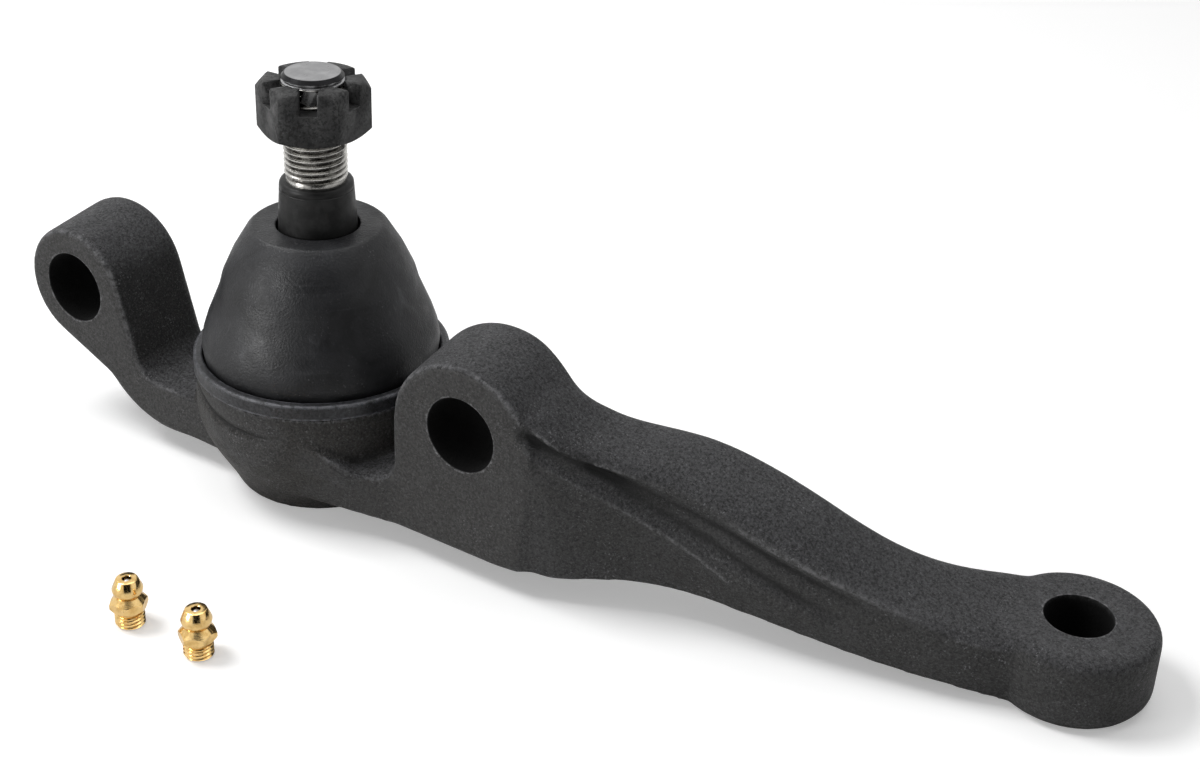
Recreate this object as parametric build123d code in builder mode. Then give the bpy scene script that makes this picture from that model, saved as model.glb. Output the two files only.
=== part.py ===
from build123d import *
from math import acos, atan2, cos, hypot, isclose, radians, sin, sqrt, tan
import os

# Suspension ball joint with its forged steering arm, in millimetres.
# Origin: on the housing axis, in the plane that the bowl and the arm's eye stand on.
# +X runs along the two bolt lugs towards the eye, +Y away from the lug faces, +Z up the stud.

# ---- forged housing
bowl_foot_r = 21.0
bowl_hip_r = 23.6
bowl_hip_z = 5.2
bowl_swell_r = 27.3
bowl_swell_z = 11.8
housing_r = 29.7
housing_draft = 0.3           # radius lost from the parting line to the top
parting_z = 23.3
housing_top_z = 29.4

# ---- mounting flange with its two bolt lugs
flange_face_y = -18.5
lug_depth = 21.4
lug_z = 36.1
lug_bore_r = 8.5
bore_chamfer = 0.5
left_lug_x = -63.1
left_lug_r = 14.8
right_lug_x = 54.5
right_lug_r = 18.6
right_lug_drop = 2.3          # the right lug's crown is centred this far below its hole
right_lug_lean = 2.6          # its outer side leans in by this much on the way down
web_bottom_z = 5.8
web_top_z = 17.6
web_heel_r = 24.8             # outer sweep of the left web
web_heel_x = -33.5
web_toe_x = -44.6             # round foot of the left lug's inner side
web_toe_r = 3.0
web_corner_r = 7.0
pocket_corner_r = 5.0
heel_corner_r = 6.0
flange_draft = 6.5            # degrees
front_round = 1.1
back_round = 2.6

# ---- steering arm and its eye
arm_root_x = 66.0
arm_root_inset = 0.4          # the arm's front starts this far behind the lug faces
arm_crown_z = 47.0            # top of the arm where it leaves the lug
arm_parting_z = 33.0          # widest line of the arm there
arm_draft = 2.0               # how far the floor stands in from the widest line
arm_groove_depth = 2.3        # shallow groove between the widest line and the shoulder
arm_shoulder_inset = 1.0
eye_x = 180.6
eye_y = 25.0
eye_r = 17.2
eye_foot_r = 15.3
eye_foot_z = 2.8
eye_top_z = 17.0
eye_parting_z = 8.6
eye_round = 2.0
eye_bore_r = 7.3              # large end of the tapered hole, at the top
eye_boss_rise = 0.7           # the eye's top stands this far above the arm

# ---- ball stud
taper_angle = 3.576           # degrees: 1 in 8 on diameter, for the stud and for the eye
ball_r = 15.0
ball_z = 20.5                 # height of the joint's centre
flat_cut = 1.0                # taken off under the head
neck_r = 8.6
half_ball_cut = 4.6           # taken off the half ball's top
taper_foot_z = 51.0
taper_end_z = 75.6            # shoulder above the taper
taper_end_r = 8.3
shoulder_round = 1.0
relief_r = 6.5                # groove between the shoulder and the thread
relief_height = 1.2
neck_blend = 6.0
thread_r = 7.14
thread_chamfer = 0.9
stud_top_z = 101.2
cotter_r = 1.9

# ---- castle nut
nut_flats = 22.2
nut_drop = 13.9               # the stud's end down to the nut's foot
nut_height = 12.3
slot_width = 4.2
slot_depth = 5.0
nut_chamfer = 1.1
nut_turn = 4.6                # degrees from +X to the first slot

# ---- sealing boot and its ring
boot_top_z = 64.6
boot_top_r = 15.8
boot_hole_r = 9.6
boot_brow_r = 22.7            # where the top cone turns into the skirt
boot_brow_z = 52.2
boot_waist_r = 23.2           # just under the brow
boot_waist_z = 48.8
boot_belly_r = 26.2
boot_belly_z = 41.6
boot_wall = 2.4
boot_edge_round = 0.8
boot_gap = 0.5                # between the skirt and its ring
ring_overhang = 0.3           # the ring stands out this far from the housing
ring_wall = 2.2
ring_height = 3.5
ring_round = 0.5

# ---- socket
bearing_wall = 3.2            # least wall round the ball
lip_height = 1.9
lip_gap = 0.3                 # between the ball and the housing's lip
bearing_foot_z = 14.5
seat_inset = 1.6              # the pressure seat's rim stands in from the bore
seat_hole_r = 6.0
seat_foot_z = 5.2
seat_rise = 6.0
cover_ledge = 1.4             # the cover plate rests on this much of the housing
cover_foot_z = 0.8
cover_thickness = 2.4
cover_round = 0.6
port_r = 3.2
port_boss_r = 6.5
spring_hole_r = 8.0
spring_thickness = 0.8

# ---- grease fittings
fitting_1_x = 8.4
fitting_1_y = -72.9
fitting_2_x = 27.5
fitting_2_y = -72.2
fitting_thread_r = 3.17
fitting_thread_length = 3.7
fitting_flats = 7.14
fitting_hex_height = 2.4
fitting_neck_r = 2.3
fitting_waist_z = 6.7
fitting_head_r = 3.25
fitting_head_z = 8.9          # widest part of the head
fitting_head_band = 0.5
fitting_height = 11.3
fitting_tip_r = 1.85
fitting_chamfer = 0.4
check_ball_r = 1.2
passage_r = 1.35
mouth_r = 0.95
mouth_depth = 0.5
mouth_slope = 0.7             # height of the cone that the check ball closes against
check_ball_drop = 0.35        # ball's centre under that cone
check_wire = 0.35
check_spring_height = 3.0

# ---- clearances
seat_gap = 0.05               # pieces that seat on each other
running = 0.06                # shafts and balls that turn
soft_gap = 0.35               # beside the rubber

os.makedirs("parts", exist_ok=True)


def finish(builder, name):
    builder.part.label = name
    export_step(builder.part, f"parts/{name}.step")


def between(low, high, share):
    return low + (high - low) * share


def ball_height(radius, at_r):
    """How far above or below its centre a sphere passes a given radius."""
    return sqrt(radius**2 - at_r**2)


# ---- steering arm: flange, bowl, arm and eye in one forging
face = Plane(origin=(0, flange_face_y, 0), x_dir=(1, 0, 0), z_dir=(0, -1, 0))
back_y = flange_face_y + lug_depth
right_crown_z = lug_z - right_lug_drop
right_side_x = right_lug_x + right_lug_r
pocket_x = right_lug_x - right_lug_r
web_heel_z = web_bottom_z + web_heel_r
cover_top_z = cover_foot_z + cover_thickness
taper = tan(radians(taper_angle))
socket_r = ball_r + bearing_wall
cover_r = socket_r + cover_ledge
seat_r = socket_r - seat_inset
lip_foot_z = housing_top_z - lip_height
lip_r = ball_height(ball_r, lip_foot_z - ball_z) + lip_gap

groove_foot = 0.22            # shares of the way from the widest line to the crown
groove_head = 0.50
shoulder_foot = 0.66
shoulder_head = 0.80

# one row a station along the arm, as shares: of the way to the eye, of the front's and the
# back's swing towards the eye, and of the crown's, the widest line's and the floor's drop
arm_stations = [
    (0.00, 0.00, 0.00, 0.00, 0.00, 0.00),
    (0.10, 0.04, 0.06, 0.14, 0.07, 0.00),
    (0.19, 0.23, 0.18, 0.25, 0.24, -0.20),
    (0.30, 0.41, 0.27, 0.28, 0.45, -0.34),
    (0.40, 0.49, 0.32, 0.36, 0.63, -0.24),
    (0.52, 0.56, 0.36, 0.51, 0.80, -0.02),
    (0.64, 0.67, 0.42, 0.70, 0.92, 0.36),
    (0.76, 0.78, 0.58, 0.86, 0.98, 0.61),
    (0.87, 0.92, 0.81, 0.95, 1.00, 0.82),
    (0.96, 1.07, 0.92, 1.00, 1.00, 1.00),
]

with BuildPart() as steering_arm:
    with BuildSketch(face) as flange_outline:
        with Locations((left_lug_x, lug_z)):
            Circle(left_lug_r)
        with Locations((web_toe_x, web_top_z - web_toe_r)):
            Circle(web_toe_r)
        make_hull()
        with Locations((right_lug_x, right_crown_z)):
            Circle(right_lug_r)
        with BuildLine():
            heel = CenterArc((web_heel_x, web_heel_z), web_heel_r, 180, 90)
            Polyline(
                heel @ 1,
                (right_side_x - right_lug_lean, web_bottom_z),
                (right_side_x, right_crown_z),
                (pocket_x, right_crown_z),
                (pocket_x, web_top_z),
                (web_toe_x, web_top_z),
                heel @ 0,
            )
        make_face()
        for spot, corner_r in (
            ((web_toe_x + web_toe_r, web_top_z), web_corner_r),
            ((pocket_x, web_top_z), pocket_corner_r),
            ((web_heel_x - web_heel_r, web_heel_z - heel_corner_r), heel_corner_r),
        ):
            fillet(flange_outline.vertices().sort_by_distance(spot)[0], corner_r)
    extrude(amount=-lug_depth, taper=-flange_draft)
    fillet(steering_arm.faces().sort_by(Axis.Y)[0].outer_wire().edges(), front_round)
    fillet(steering_arm.faces().sort_by(Axis.Y)[-1].outer_wire().edges(), back_round)

    # bowl
    with BuildSketch(Plane.XZ):
        with BuildLine():
            Line((0, 0), (bowl_foot_r, 0))
            Spline(
                (bowl_foot_r, 0),
                (bowl_hip_r, bowl_hip_z),
                (bowl_swell_r, bowl_swell_z),
                (housing_r, parting_z),
            )
            Polyline(
                (housing_r, parting_z),
                (housing_r - housing_draft, housing_top_z),
                (0, housing_top_z),
                (0, 0),
            )
        make_face()
    revolve(axis=Axis.Z)

    # gusset: carries the bowl's flank on to the right lug
    for height, flank_r in ((web_bottom_z, bowl_hip_r), (web_top_z, housing_r - housing_draft)):
        lug_corner = (pocket_x, flange_face_y)
        touch = atan2(flange_face_y, pocket_x) - acos(flank_r / hypot(*lug_corner))
        with BuildSketch(Plane.XY.offset(height)):
            Polygon(
                (0, 0),
                (flank_r * cos(touch), flank_r * sin(touch)),
                lug_corner,
                (pocket_x, 0),
                align=None,
            )
    loft()

    # arm: widest on a sharp parting line, grooved above it, rounded over the top
    for along, front_share, back_share, crown_share, parting_share, floor_share in arm_stations:
        front = between(flange_face_y + arm_root_inset, eye_y - eye_r, front_share)
        back = between(back_y, eye_y + eye_r, back_share)
        crown = between(arm_crown_z, eye_top_z - eye_boss_rise, crown_share)
        parting = between(arm_parting_z, eye_parting_z, parting_share)
        floor = between(web_bottom_z, eye_foot_z / 4, floor_share)
        groove = arm_groove_depth * (1 - along)
        shoulder = arm_shoulder_inset * (1 - along)
        with BuildSketch(Plane.YZ.offset(between(arm_root_x, eye_x, along))):
            with BuildLine():
                Bezier(
                    (front, parting),
                    (front + groove, between(parting, crown, groove_foot)),
                    (front + groove, between(parting, crown, groove_head)),
                    (front + shoulder, between(parting, crown, shoulder_foot)),
                )
                Bezier(
                    (front + shoulder, between(parting, crown, shoulder_foot)),
                    (front, between(parting, crown, shoulder_head)),
                    (between(front, back, 0.30), between(parting, crown, 0.95)),
                    (between(front, back, 0.70), crown),
                )
                Bezier(
                    (between(front, back, 0.70), crown),
                    (between(front, back, 0.94), between(parting, crown, 1.03)),
                    (back, between(parting, crown, 0.85)),
                    (back, parting),
                )
                Polyline(
                    (back, parting),
                    (back - arm_draft, floor),
                    (front + arm_draft, floor),
                    (front, parting),
                )
            make_face()
    loft()

    # eye
    eye_plane = Plane(origin=(eye_x, eye_y, 0), x_dir=(1, 0, 0), z_dir=(0, -1, 0))
    eye_axis = Axis((eye_x, eye_y, 0), (0, 0, 1))
    with BuildSketch(eye_plane):
        Polygon(
            (0, 0),
            (eye_foot_r, 0),
            (eye_r, eye_foot_z),
            (eye_r, eye_top_z - eye_round),
            (eye_r - eye_round / 2, eye_top_z - eye_round / 4),
            (eye_r - eye_round, eye_top_z),
            (0, eye_top_z),
            align=None,
        )
    revolve(axis=eye_axis)

    # socket, from below: cover plate ledge, ball chamber, mouth
    with BuildSketch(Plane.XY):
        Circle(cover_r + seat_gap)
    extrude(amount=cover_top_z, mode=Mode.SUBTRACT)
    with BuildSketch(Plane.XY.offset(cover_top_z)):
        Circle(socket_r)
    extrude(amount=lip_foot_z - cover_top_z, mode=Mode.SUBTRACT)
    with BuildSketch(Plane.XY.offset(housing_top_z)):
        Circle(lip_r)
    extrude(amount=-lip_height, mode=Mode.SUBTRACT)

    # bolt holes, and the tapered hole of the eye
    with BuildSketch(face):
        with Locations((left_lug_x, lug_z), (right_lug_x, lug_z)):
            Circle(lug_bore_r)
    extrude(amount=-lug_depth, mode=Mode.SUBTRACT)
    rims = steering_arm.edges().filter_by(GeomType.CIRCLE)
    chamfer(rims.filter_by(lambda rim: isclose(rim.radius, lug_bore_r)), bore_chamfer)
    with BuildSketch(eye_plane):
        Polygon(
            (0, 0),
            (eye_bore_r - taper * eye_top_z, 0),
            (eye_bore_r, eye_top_z),
            (0, eye_top_z),
            align=None,
        )
    revolve(axis=eye_axis, mode=Mode.SUBTRACT)
finish(steering_arm, "steering_arm")


# ---- socket: cover plate, spring washer, pressure seat, bearing, half ball
with BuildPart() as cover_plate:
    with BuildSketch(Plane.XY.offset(cover_foot_z)):
        Circle(cover_r)
    extrude(amount=cover_thickness)
    fillet(cover_plate.edges().group_by(Axis.Z)[0], cover_round)
    with BuildSketch(Plane.XY):
        Circle(port_boss_r)
    extrude(amount=cover_top_z)
    with BuildSketch(Plane.XY):
        Circle(port_r)
    extrude(amount=cover_top_z, mode=Mode.SUBTRACT)
finish(cover_plate, "cover_plate")

seat_ball_r = ball_r + running
spring_foot_z = cover_top_z + seat_gap
spring_top_z = seat_foot_z - seat_gap
with BuildPart() as spring_washer:
    with BuildSketch(Plane.XZ):
        Polygon(
            (seat_r, spring_foot_z),
            (spring_hole_r, spring_top_z - spring_thickness),
            (spring_hole_r, spring_top_z),
            (seat_r, spring_foot_z + spring_thickness),
            align=None,
        )
    revolve(axis=Axis.Z)
finish(spring_washer, "spring_washer")

with BuildPart() as pressure_seat:
    with BuildSketch(Plane.XY.offset(seat_foot_z)):
        Circle(seat_r)
        Circle(seat_hole_r, mode=Mode.SUBTRACT)
    extrude(amount=seat_rise)
    with Locations((0, 0, ball_z)):
        Sphere(seat_ball_r, mode=Mode.SUBTRACT)
finish(pressure_seat, "pressure_seat")

bearing_top_z = lip_foot_z - seat_gap
with BuildPart() as upper_bearing:
    with BuildSketch(Plane.XY.offset(bearing_foot_z)):
        Circle(socket_r - seat_gap)
    extrude(amount=bearing_top_z - bearing_foot_z)
    with Locations((0, 0, ball_z)):
        Sphere(seat_ball_r, mode=Mode.SUBTRACT)
finish(upper_bearing, "upper_bearing")

half_ball_rise = ball_r - half_ball_cut
half_ball_top_r = ball_height(ball_r, half_ball_rise)
with BuildPart() as half_ball:
    with BuildSketch(Plane.XZ):
        with BuildLine():
            Line((neck_r + running, ball_z), (ball_r, ball_z))
            RadiusArc((ball_r, ball_z), (half_ball_top_r, ball_z + half_ball_rise), -ball_r)
            Line((half_ball_top_r, ball_z + half_ball_rise), (neck_r + running, ball_z + half_ball_rise))
            Line((neck_r + running, ball_z + half_ball_rise), (neck_r + running, ball_z))
        make_face()
    revolve(axis=Axis.Z)
finish(half_ball, "half_ball")

# ---- ball stud
nut_z = stud_top_z - nut_drop
taper_foot_r = taper_end_r + taper * (taper_end_z - taper_foot_z)
ball_flat = ball_r - flat_cut
flat_r = ball_height(ball_r, ball_flat)
head_top_z = ball_z - running
cotter_z = nut_z + nut_height - slot_depth / 2
cotter_way = (cos(radians(nut_turn - 60)), sin(radians(nut_turn - 60)), 0)
with BuildPart() as ball_stud:
    with BuildSketch(Plane.XZ):
        with BuildLine():
            Line((0, ball_z - ball_flat), (flat_r, ball_z - ball_flat))
            RadiusArc((flat_r, ball_z - ball_flat), (ball_height(ball_r, running), head_top_z), -ball_r)
            Polyline(
                (ball_height(ball_r, running), head_top_z),
                (neck_r, head_top_z),
                (neck_r, taper_foot_z - neck_blend),
                (taper_foot_r, taper_foot_z),
                (taper_end_r, taper_end_z - shoulder_round),
                (taper_end_r - shoulder_round, taper_end_z),
                (relief_r, taper_end_z),
                (relief_r, taper_end_z + relief_height),
                (thread_r, taper_end_z + relief_height + thread_r - relief_r),
                (thread_r, stud_top_z - thread_chamfer),
                (thread_r - thread_chamfer, stud_top_z),
                (0, stud_top_z),
                (0, ball_z - ball_flat),
            )
        make_face()
    revolve(axis=Axis.Z)
    with BuildSketch(Plane(origin=(0, 0, cotter_z), x_dir=(0, 0, 1), z_dir=cotter_way)):
        Circle(cotter_r)
    extrude(amount=thread_r, both=True, mode=Mode.SUBTRACT)
finish(ball_stud, "ball_stud")

# ---- castle nut: six slots, one in each flat
nut_top_z = nut_z + nut_height
with BuildPart() as castle_nut:
    with BuildSketch(Plane.XY.offset(nut_z)):
        RegularPolygon(nut_flats / 2, 6, major_radius=False, rotation=nut_turn + 30)
        Circle(thread_r + running, mode=Mode.SUBTRACT)
    extrude(amount=nut_height)
    with BuildSketch(Plane.XY.offset(nut_top_z)):
        with PolarLocations(0, 3, start_angle=nut_turn):
            Rectangle(2 * nut_flats, slot_width)
    extrude(amount=-slot_depth, mode=Mode.SUBTRACT)
    with BuildSketch(Plane.XZ):
        Polygon(
            (0, nut_z),
            (nut_flats / 2, nut_z),
            (nut_flats / 2 + 2 * nut_chamfer, nut_z + nut_chamfer),
            (nut_flats / 2 + 2 * nut_chamfer, nut_top_z - nut_chamfer),
            (nut_flats / 2, nut_top_z),
            (0, nut_top_z),
            align=None,
        )
    revolve(axis=Axis.Z, mode=Mode.INTERSECT)
finish(castle_nut, "castle_nut")

# ---- sealing boot and the ring that holds its foot
ring_r = housing_r + ring_overhang
ring_top_z = housing_top_z + seat_gap + ring_height
with BuildPart() as boot_ring:
    with BuildSketch(Plane.XY.offset(housing_top_z + seat_gap)):
        Circle(ring_r)
        Circle(ring_r - ring_wall, mode=Mode.SUBTRACT)
    extrude(amount=ring_height)
    fillet(boot_ring.edges().filter_by(GeomType.CIRCLE).group_by(Axis.Z)[-1], ring_round)
finish(boot_ring, "boot_ring")

boot_foot_z = housing_top_z + soft_gap
boot_skirt_r = ring_r - ring_wall - boot_gap
with BuildPart() as boot:
    with BuildSketch(Plane.XZ):
        Polygon(
            (boot_skirt_r, boot_foot_z),
            (boot_skirt_r, ring_top_z),
            (boot_belly_r, boot_belly_z),
            (boot_waist_r, boot_waist_z),
            (boot_brow_r, boot_brow_z),
            (boot_top_r, boot_top_z),
            (boot_hole_r, boot_top_z),
            (boot_hole_r, boot_top_z - boot_wall),
            (boot_top_r - boot_wall, boot_top_z - boot_wall),
            (boot_brow_r - boot_wall, boot_brow_z - boot_wall / 3),
            (boot_waist_r - boot_wall, boot_waist_z),
            (boot_belly_r - boot_wall, boot_belly_z),
            (boot_skirt_r - boot_wall, ring_top_z),
            (boot_skirt_r - 2 * boot_wall, boot_foot_z),
            align=None,
        )
    revolve(axis=Axis.Z)
    fillet(boot.edges().group_by(Axis.Z)[-1].sort_by(SortBy.RADIUS)[-1], boot_edge_round)
finish(boot, "boot")

# ---- two loose grease fittings, each with its sprung check ball
ball_seat_z = fitting_height - mouth_slope - mouth_depth
check_ball_z = ball_seat_z - check_ball_drop
fitting_spots = [(fitting_1_x, fitting_1_y), (fitting_2_x, fitting_2_y)]
for number, (x, y) in enumerate(fitting_spots, start=1):
    spot = Plane(origin=(x, y, 0), x_dir=(1, 0, 0), z_dir=(0, -1, 0))
    upright = Axis((x, y, 0), (0, 0, 1))
    with BuildPart() as grease_fitting:
        with BuildSketch(spot):
            Polygon(
                (passage_r, 0),
                (fitting_thread_r - fitting_chamfer, 0),
                (fitting_thread_r, fitting_chamfer),
                (fitting_thread_r, fitting_thread_length),
                (fitting_neck_r, fitting_thread_length),
                (fitting_neck_r, fitting_waist_z),
                (fitting_head_r, fitting_head_z - fitting_head_band),
                (fitting_head_r, fitting_head_z + fitting_head_band),
                (fitting_tip_r, fitting_height),
                (mouth_r, fitting_height),
                (mouth_r, ball_seat_z + mouth_slope),
                (passage_r, ball_seat_z),
                align=None,
            )
        revolve(axis=upright)
        with BuildSketch(Plane.XY.offset(fitting_thread_length)):
            with Locations((x, y)):
                RegularPolygon(fitting_flats / 2, 6, major_radius=False)
                Circle(passage_r, mode=Mode.SUBTRACT)
        extrude(amount=fitting_hex_height)
    finish(grease_fitting, f"grease_fitting_{number}")

    with BuildPart() as check_ball:
        with Locations((x, y, check_ball_z)):
            Sphere(check_ball_r)
    finish(check_ball, f"check_ball_{number}")

    with BuildPart() as check_spring:
        with BuildSketch(Plane.XY.offset(check_ball_z - check_ball_r - seat_gap)):
            with Locations((x, y)):
                Circle(passage_r - running)
                Circle(passage_r - check_wire, mode=Mode.SUBTRACT)
        extrude(amount=-check_spring_height)
    finish(check_spring, f"check_spring_{number}")
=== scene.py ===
import bpy
import bmesh
from math import exp, pi, radians
from mathutils import Matrix, Vector


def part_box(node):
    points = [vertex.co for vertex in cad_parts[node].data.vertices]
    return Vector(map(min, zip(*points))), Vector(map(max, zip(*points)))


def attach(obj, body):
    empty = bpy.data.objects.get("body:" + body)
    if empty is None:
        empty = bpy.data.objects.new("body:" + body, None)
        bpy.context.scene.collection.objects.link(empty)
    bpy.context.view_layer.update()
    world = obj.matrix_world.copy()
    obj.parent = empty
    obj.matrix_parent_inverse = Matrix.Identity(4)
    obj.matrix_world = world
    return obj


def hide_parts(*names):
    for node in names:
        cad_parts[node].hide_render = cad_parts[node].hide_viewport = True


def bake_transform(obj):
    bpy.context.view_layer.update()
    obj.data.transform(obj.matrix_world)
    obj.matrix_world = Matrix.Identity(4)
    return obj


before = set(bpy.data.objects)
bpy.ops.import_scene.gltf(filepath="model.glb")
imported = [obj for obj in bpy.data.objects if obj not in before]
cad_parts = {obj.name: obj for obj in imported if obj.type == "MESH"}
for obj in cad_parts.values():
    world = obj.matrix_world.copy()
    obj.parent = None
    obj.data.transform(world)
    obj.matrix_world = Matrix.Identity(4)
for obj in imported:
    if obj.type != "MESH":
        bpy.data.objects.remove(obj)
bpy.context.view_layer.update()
mm = 0.001
weldGap = 0.0005
nodeWeldGap = 0.002
sharpTurn = 32


# ---- mesh helpers: sizes are in millimetres until toObject scales them

def toObject(name, bm, sharpAngle=sharpTurn):
    bmesh.ops.remove_doubles(bm, verts=bm.verts, dist=weldGap)
    bmesh.ops.recalc_face_normals(bm, faces=bm.faces)
    bmesh.ops.scale(bm, verts=bm.verts, vec=(mm, mm, mm))
    for face in bm.faces:
        face.smooth = True
    mesh = bpy.data.meshes.new(name)
    bm.to_mesh(mesh)
    bm.free()
    mesh.set_sharp_from_angle(angle=radians(sharpAngle))
    piece = bpy.data.objects.new(name, mesh)
    bpy.context.scene.collection.objects.link(piece)
    return piece


def joinInto(bm, part):
    bmesh.ops.recalc_face_normals(part, faces=part.faces)
    holder = bpy.data.meshes.new("holder")
    part.to_mesh(holder)
    part.free()
    bm.from_mesh(holder)
    bpy.data.meshes.remove(holder)


def addProfile(bm, points):
    corners = [bm.verts.new((r, 0, z)) for r, z in points]
    for pair in zip(corners, corners[1:] + corners[:1]):
        bm.edges.new(pair)


# a closed profile of (radius, height) pairs turned about an upright axis
def addLathe(bm, points, steps=96, centre=(0, 0)):
    part = bmesh.new()
    addProfile(part, points)
    bmesh.ops.spin(part, geom=part.verts[:] + part.edges[:], cent=(0, 0, 0), axis=(0, 0, 1),
                   angle=2 * pi, steps=steps, use_merge=True)
    bmesh.ops.remove_doubles(part, verts=part.verts, dist=weldGap)
    bmesh.ops.translate(part, verts=part.verts, vec=(centre[0], centre[1], 0))
    joinInto(bm, part)


# a solid's own mesh in millimetres, its corners merged
def copyOfNode(name):
    bm = bmesh.new()
    bm.from_mesh(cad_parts[name].data)
    bmesh.ops.scale(bm, verts=bm.verts, vec=(1 / mm, 1 / mm, 1 / mm))
    bmesh.ops.remove_doubles(bm, verts=bm.verts, dist=nodeWeldGap)
    return bm


def paint(piece, material):
    piece.data.materials.clear()
    piece.data.materials.append(material)


def carve(piece, cutter, operation="DIFFERENCE"):
    boolean = piece.modifiers.new("carve", "BOOLEAN")
    boolean.operation = operation
    boolean.solver = "EXACT"
    boolean.object = cutter
    bpy.context.view_layer.update()
    graph = bpy.context.evaluated_depsgraph_get()
    mesh = bpy.data.meshes.new_from_object(piece.evaluated_get(graph))
    piece.modifiers.clear()
    piece.data = mesh
    bpy.data.objects.remove(cutter)
    mesh.set_sharp_from_angle(angle=radians(sharpTurn))
    return piece


# ---- material helpers

def startMaterial(name, colour, roughness, metallic=0.0, specular=0.5):
    material = bpy.data.materials.new(name)
    material.use_nodes = True
    tree = material.node_tree
    shader = tree.nodes["Principled BSDF"]
    shader.inputs["Base Color"].default_value = (*colour, 1)
    shader.inputs["Roughness"].default_value = roughness
    shader.inputs["Metallic"].default_value = metallic
    shader.inputs["Specular IOR Level"].default_value = specular
    return material, tree, shader


def coords(tree, kind="Object"):
    source = tree.nodes.get("coords") or tree.nodes.new("ShaderNodeTexCoord")
    source.name = "coords"
    return source.outputs[kind]


def plug(tree, socket, value):
    if isinstance(value, bpy.types.NodeSocket):
        tree.links.new(value, socket)
    elif isinstance(value, tuple) and len(value) == 3 and socket.type == "RGBA":
        socket.default_value = (*value, 1)
    else:
        socket.default_value = value


def noise(tree, scale, detail=3, roughness=0.55, stretch=None, distortion=0.0):
    node = tree.nodes.new("ShaderNodeTexNoise")
    node.inputs["Scale"].default_value = scale
    node.inputs["Detail"].default_value = detail
    node.inputs["Roughness"].default_value = roughness
    node.inputs["Distortion"].default_value = distortion
    vector = coords(tree)
    if stretch:
        mapping = tree.nodes.new("ShaderNodeMapping")
        mapping.inputs["Scale"].default_value = stretch
        tree.links.new(vector, mapping.inputs["Vector"])
        vector = mapping.outputs["Vector"]
    tree.links.new(vector, node.inputs["Vector"])
    return node.outputs["Fac"]


def reach(tree, value, low, high, toLow=0.0, toHigh=1.0):
    node = tree.nodes.new("ShaderNodeMapRange")
    node.interpolation_type = "SMOOTHSTEP"
    for name, amount in (("From Min", low), ("From Max", high), ("To Min", toLow), ("To Max", toHigh)):
        node.inputs[name].default_value = amount
    plug(tree, node.inputs["Value"], value)
    return node.outputs["Result"]


def maths(tree, operation, *values):
    node = tree.nodes.new("ShaderNodeMath")
    node.operation = operation
    for socket, value in zip(node.inputs, values):
        plug(tree, socket, value)
    return node.outputs[0]


def axisOf(tree, vector, axis):
    node = tree.nodes.new("ShaderNodeSeparateXYZ")
    tree.links.new(vector, node.inputs[0])
    return node.outputs[axis]


def mixed(tree, factor, first, second):
    node = tree.nodes.new("ShaderNodeMix")
    node.data_type = "RGBA"
    plug(tree, node.inputs["Factor"], factor)
    plug(tree, node.inputs[6], first)
    plug(tree, node.inputs[7], second)
    return node.outputs[2]


def bump(tree, height, distance, strength=1.0, under=None):
    node = tree.nodes.new("ShaderNodeBump")
    node.inputs["Distance"].default_value = distance
    node.inputs["Strength"].default_value = strength
    plug(tree, node.inputs["Height"], height)
    if under:
        tree.links.new(under, node.inputs["Normal"])
    return node.outputs["Normal"]


def stored(tree, name):
    node = tree.nodes.new("ShaderNodeAttribute")
    node.attribute_name = name
    return node.outputs["Fac"]


# where the surface turns within a radius: 0 on flats, towards 1 on edges
def edgeOf(tree, radius, flat=0.97, turned=0.80):
    bevel = tree.nodes.new("ShaderNodeBevel")
    bevel.samples = 4
    bevel.inputs["Radius"].default_value = radius
    geometry = tree.nodes.new("ShaderNodeNewGeometry")
    dot = tree.nodes.new("ShaderNodeVectorMath")
    dot.operation = "DOT_PRODUCT"
    tree.links.new(bevel.outputs["Normal"], dot.inputs[0])
    tree.links.new(geometry.outputs["Normal"], dot.inputs[1])
    return reach(tree, dot.outputs["Value"], flat, turned), bevel.outputs["Normal"]


# 1 inside a hole about an axis, 0 outside: the hole's centre on the two axes across it, and its radius
def insideHole(tree, place, first, second, centre, radius, blur=0.15):
    squares = []
    for axis, middle in zip((first, second), centre):
        offset = maths(tree, "SUBTRACT", axisOf(tree, place, axis), middle * mm)
        squares.append(maths(tree, "POWER", offset, 2.0))
    away = maths(tree, "SQRT", maths(tree, "ADD", *squares))
    return reach(tree, away, (radius + blur) * mm, (radius - blur) * mm)


# ---- materials

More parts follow.
